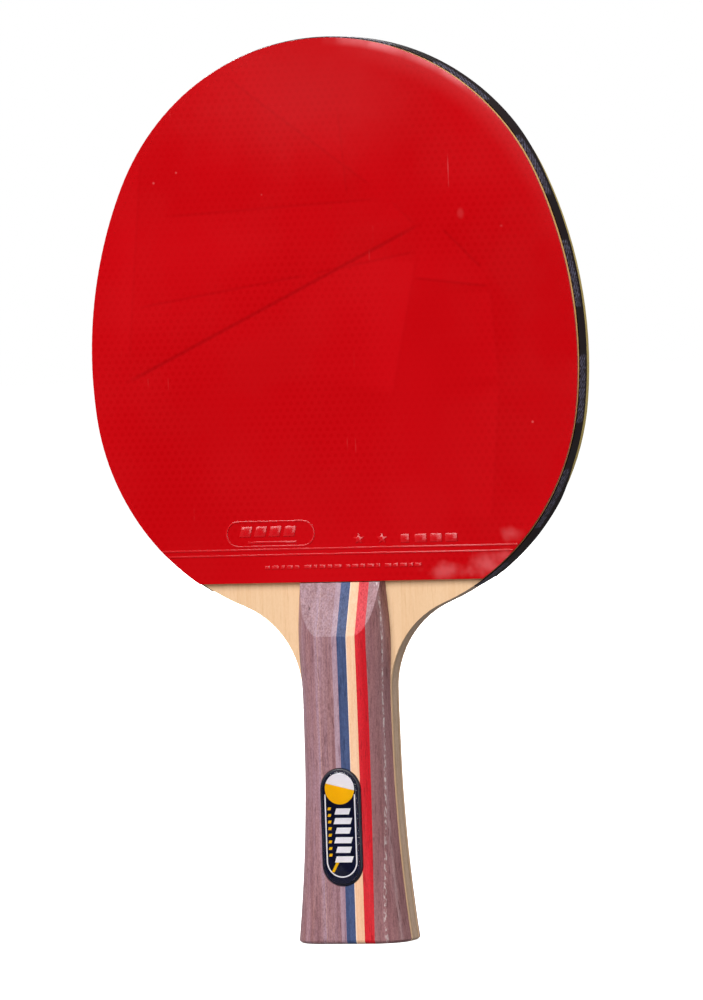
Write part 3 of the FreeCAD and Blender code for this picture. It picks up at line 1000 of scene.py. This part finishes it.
def make_marks(name, finish, y, outward, side):
    bm = bmesh.new()
    base = y - outward * sunk
    for z in (113.4 * mm, 111.8 * mm):
        half = cheek_centre.x + math.sqrt(cheek_radius**2 - (z - cheek_centre.z)**2)
        flat_bar(bm, 0, z, 2 * (half - 0.9 * mm), 0.5 * mm, base)
    for x in (6.2, 13.4):
        flat_star(bm, side * x * mm, 115.9 * mm, 1.7 * mm, base)
    for x, w in ((20.4, 2.6), (25.2, 3.6), (29.9, 3.6), (34.6, 3.6)):
        flat_bar(bm, side * x * mm, 115.8 * mm, w * mm, 2.4 * mm, base)
    widths = (1.5, 2.2, 1.2, 1.9)
    x = -23.0
    i = 0
    while x < 24.0:
        w = widths[i % 4]
        flat_bar(bm, side * (x + w / 2) * mm, 108.2 * mm, w * mm, 1.0 * mm, base)
        x += w + (1.5 if i % 5 == 4 else 0.6)
        i += 1
    frame_face = flat_capsule(bm, side * -21.0 * mm, 117.9 * mm, 27.5 * mm, 7.6 * mm, base, 14)
    open_ring(bm, frame_face, 0.45 * mm)
    for x in (-28.5, -24.0, -19.5, -15.0):
        flat_bar(bm, side * x * mm, 118.6 * mm, 3.4 * mm, 3.0 * mm, base, slant=0.25)
    flat_bar(bm, side * -20.5 * mm, 115.5 * mm, 15 * mm, 0.6 * mm, base)
    raise_marks(bm, outward)
    finish_piece(bm, name, finish + "_marks")


make_marks("front_marks", "red", red_sheet_y, -1, 1)
make_marks("back_marks", "black", black_sheet_y, 1, -1)

# %% [markdown]
# ## Edge tape
# The tape is one band wound round the edge of the blade. It was put on by hand, so it wanders:
# it stops short of the red rubber and shows a line of cream sponge, and along the right side it
# bares the yellow sponge behind. The rim is extruded across the edge in steps to make the band,
# its two borders are moved up and down, and solidify gives it the thickness of the film. The
# borders are functions of the distance along the tape from the crown, positive on the right.

# %% Tape borders
def front_border(s):
    wander = 0.45 * math.sin(s / (42 * mm)) + 0.3 * noise.noise((s * 30, 0, 0))
    return tape_low.y + max(0.0, 1.0 + wander) * mm


def rear_border(s):
    """It covers the yellow sponge, but not on the right side, and less and less down there."""
    cover = 1 - step_up(s, 60 * mm, 85 * mm) * step_up(178 * mm - s, 0, 14 * mm)
    bare = step_up(s, 85 * mm, 150 * mm) * (1 - cover)
    return tape_high.y + (1.75 * cover - 0.12 - 0.9 * bare + 0.2 * noise.noise((s * 25, 5, 0))) * mm


for s in (-0.1, 0.0, 0.1):
    print("tape at", s, "m is", round((rear_border(s) - front_border(s)) / mm, 2), "mm wide")

# %% [markdown]
# Two vertex layers remember the distance along and over the tape, and become its UV map.

# %% Tape
film = 0.3 * mm
strips = 6              # rows of faces over the tape


def make_tape():
    bm = bmesh.new()
    along = bm.verts.layers.float.new("along")
    over = bm.verts.layers.float.new("over")
    for i, v in enumerate(rim_half(bm, -0.05 * mm, 0, tape_low.z)):
        v[along] = i * step
    end = max(v[along] for v in bm.verts)
    edges = bm.edges[:]
    span = tape_high.y - tape_low.y
    for i in range(strips):
        made = bmesh.ops.extrude_edge_only(bm, edges=edges)["geom"]
        edges = [g for g in made if isinstance(g, bmesh.types.BMEdge)]
        verts = [g for g in made if isinstance(g, bmesh.types.BMVert)]
        bmesh.ops.translate(bm, verts=verts, vec=(0, span / strips, 0))
    bmesh.ops.mirror(bm, geom=everything(bm), axis="X", merge_dist=1e-6)
    for v in bm.verts:
        s = v[along] * (1 if v.co.x >= 0 else -1)
        taper = 0.45 + 0.55 * step_up(end - abs(s), 0, 10 * mm)
        front = front_border(s)
        v.co.y = front + (rear_border(s) - front) * v.co.y / span * taper
        v[over] = v.co.y - tape_low.y
    slice_at(bm, (0, 0, tape_low.z + 0.02 * mm), (0, 0, -1), drop=True)
    bmesh.ops.recalc_face_normals(bm, faces=bm.faces)
    uv = bm.loops.layers.uv.new("tape")
    for face in bm.faces:
        side = 1 if face.calc_center_median().x >= 0 else -1
        for loop in face.loops:
            loop[uv].uv = (loop.vert[along] * side + 0.5, loop.vert[over])
    bmesh.ops.solidify(bm, geom=bm.faces[:], thickness=film)
    finish_piece(bm, "edge_band", "edge_tape", ["edge_tape"])
    print("tape length", round(2 * end / mm), "mm")


make_tape()

# %% [markdown]
# ## Badge
# The badge on the grip is an upright capsule: a dark base with a rounded lip, a printed foil and
# a clear dome. Each layer is the same flat capsule as above, extruded to its own thickness.

# %% Badge base and dome
base_low, base_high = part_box("badge_base")
print_low, print_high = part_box("badge_print")
dome_low, dome_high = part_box("badge_dome")
badge_z = (base_low.z + base_high.z) / 2


def thick_capsule(low, high, y_front, y_back, rounding, segments):
    """A capsule as wide and long as its CAD box, between two depths, with a rounded front."""
    bm = bmesh.new()
    size = high - low
    face = flat_capsule(bm, 0, badge_z, size.x, size.z, y_front, 24)
    pull(bm, [face], (0, y_back - y_front, 0))
    rim = [e for e in bm.edges if all(abs(v.co.y - y_front) < 1e-7 for v in e.verts)]
    soften(bm, rim, rounding, segments)
    return bm


foil_y = print_low.y + 0.08 * mm
bm = thick_capsule(base_low, base_high, base_low.y, base_high.y, 0.35 * mm, 4)
finish_piece(bm, "badge_plate", "badge_base", ["badge_base"])
bm = thick_capsule(print_low, print_high, foil_y, print_high.y, 0.02 * mm, 1)
finish_piece(bm, "badge_foil", "badge_navy", ["badge_print"])
bm = thick_capsule(dome_low, dome_high, dome_low.y + 0.15 * mm, dome_high.y + 0.10 * mm, 0.5 * mm, 8)
finish_piece(bm, "badge_resin_dome", "badge_resin", ["badge_dome"], sharp=60)

# %% [markdown]
# The drawing on the foil is only plain shapes: a thin outline, a disc in two colours, a column of
# slanted bars and a row of dashes beside it. Each function draws flat faces, and one helper gives
# them the thickness of the ink, three hundredths of a millimetre.

# %% Badge drawing
def thin_shapes(name, finish, draw):
    bm = bmesh.new()
    draw(bm, foil_y)
    pull(bm, bm.faces[:], (0, -0.03 * mm, 0))
    finish_piece(bm, name, finish)


def outline_ring(bm, y):
    """Its top is open, because the disc stands there."""
    open_ring(bm, flat_capsule(bm, 0, badge_z, 9.4 * mm, 28.8 * mm, y, 24), 0.36 * mm)
    slice_at(bm, (0, 0, badge_z + 9.5 * mm), (0, 0, 1), drop=True)


def disc(bm, y, keep):
    """Half of the disc: keep is 1 for the part above the slanted cut and -1 for the one below."""
    centre = Vector((0, y, badge_z + 11.1 * mm))
    bmesh.ops.create_circle(bm, cap_ends=True, segments=48, radius=4.5 * mm,
                            matrix=Matrix.Translation(centre) @ face_turn)
    slice_at(bm, centre + Vector((0, 0, 0.6 * mm)), (-0.23 * keep, 0, -0.97 * keep), drop=True)


def bars(bm, y):
    for i in range(6):
        width = 5.2 if i % 2 else 4.4
        flat_bar(bm, 0.7 * mm, badge_z + (4.6 - 2.75 * i) * mm, width * mm, 1.75 * mm, y, slant=0.35)


def dashes(bm, y):
    for i in range(8):
        flat_bar(bm, -3.35 * mm, badge_z + (5.4 - 1.9 * i) * mm, 0.9 * mm, 0.8 * mm, y, slant=0.3)
    flat_bar(bm, -2.0 * mm, badge_z - 11.3 * mm, 0.9 * mm, 3.0 * mm, y, slant=0.55)


thin_shapes("badge_outline", "badge_white", outline_ring)
thin_shapes("badge_disc_white", "badge_white", lambda bm, y: disc(bm, y, 1))
thin_shapes("badge_disc_yellow", "badge_yellow", lambda bm, y: disc(bm, y, -1))
thin_shapes("badge_bars", "badge_white", bars)
thin_shapes("badge_dashes", "badge_yellow", dashes)

# %% [markdown]
# ## Studio
# The paddle stands on a wide white floor, which glows a little so that it shows as plain white.
# It lights nothing and isn't mirrored.

# %% Floor
def make_floor():
    bm = bmesh.new()
    bmesh.ops.create_circle(bm, cap_ends=True, segments=96, radius=9.0)
    white = new_material("floor", Base_Color=(0.9, 0.9, 0.9, 1), Roughness=0.9,
                         Specular_IOR_Level=0.0, Emission_Strength=0.85,
                         Emission_Color=(1, 1, 1, 1))[0]
    floor = new_object(bm, "floor", white)
    floor.visible_diffuse = False
    floor.visible_glossy = False


make_floor()

# %% [markdown]
# Five soft lights do the work. The main one stands high on the left, and weaker ones at the
# right, above and behind draw the edges. A narrow strip near the camera gives the badge and the
# varnish their gloss. A dark card stands to the front left, where the glossy rubber mirrors it:
# without it the red would wash out to pink. Neither the card nor the lights can be seen by the
# camera, and the sky is brighter to the camera than to the paddle, so that it shows as white.

# %% Lights, card and sky
def soft_light(name, place, aim_at, size, power):
    lamp = bpy.data.lights.new(name, "AREA")
    lamp.shape = "RECTANGLE"
    lamp.size, lamp.size_y = size
    lamp.energy = power
    made = bpy.data.objects.new(name, lamp)
    made.location = place
    made.rotation_euler = (Vector(aim_at) - Vector(place)).to_track_quat("-Z", "Y").to_euler()
    bpy.context.scene.collection.objects.link(made)
    made.visible_camera = False


middle = (0, 0, 0.14)
soft_light("main_light", (-0.8, -2.2, 1.5), middle, (1.8, 1.8), 80)
soft_light("side_light", (2.3, 0.2, 0.4), middle, (0.35, 1.8), 13)
soft_light("rim_light", (1.2, 0.7, 2.0), middle, (1.0, 0.8), 20)
soft_light("strip_light", (-0.13, -1.60, 0.17), middle, (0.36, 0.6), 1.9)
soft_light("back_light", (-1.5, 2.3, 0.75), middle, (1.2, 1.0), 60)

world = bpy.data.worlds.new("studio")
bpy.context.scene.world = world
world.use_nodes = True
seen = world.node_tree.nodes.new("ShaderNodeLightPath").outputs["Is Camera Ray"]
wire(world.node_tree.nodes["Background"], {"Color": (1, 1, 1, 1),
                                           "Strength": spread(seen, 0.0, 1.0, 0.22, 1.0)})


def make_card():
    """Just large enough to fill what the flat of the red face mirrors to the camera."""
    bm = bmesh.new()
    facing = Vector((math.sin(azimuth), math.cos(azimuth), 0.0))
    place = Vector((0, 0, 0.1125)) - facing * 0.9
    stand = Matrix.Translation(place) @ Matrix.Rotation(-azimuth, 4, "Z") @ face_turn
    bmesh.ops.create_grid(bm, x_segments=1, y_segments=1, size=1,
                          matrix=stand @ Matrix.Diagonal((0.16, 0.22, 1, 1)))
    black = new_material("dark_card", Base_Color=(0.02, 0.02, 0.02, 1), Roughness=0.9,
                         Specular_IOR_Level=0.0)[0]
    card = new_object(bm, "dark_card", black)
    card.visible_camera = False
    card.visible_shadow = False
    card.visible_diffuse = False


make_card()
bpy.context.scene.view_settings.view_transform = "Standard"
bpy.context.scene.view_settings.look = "None"
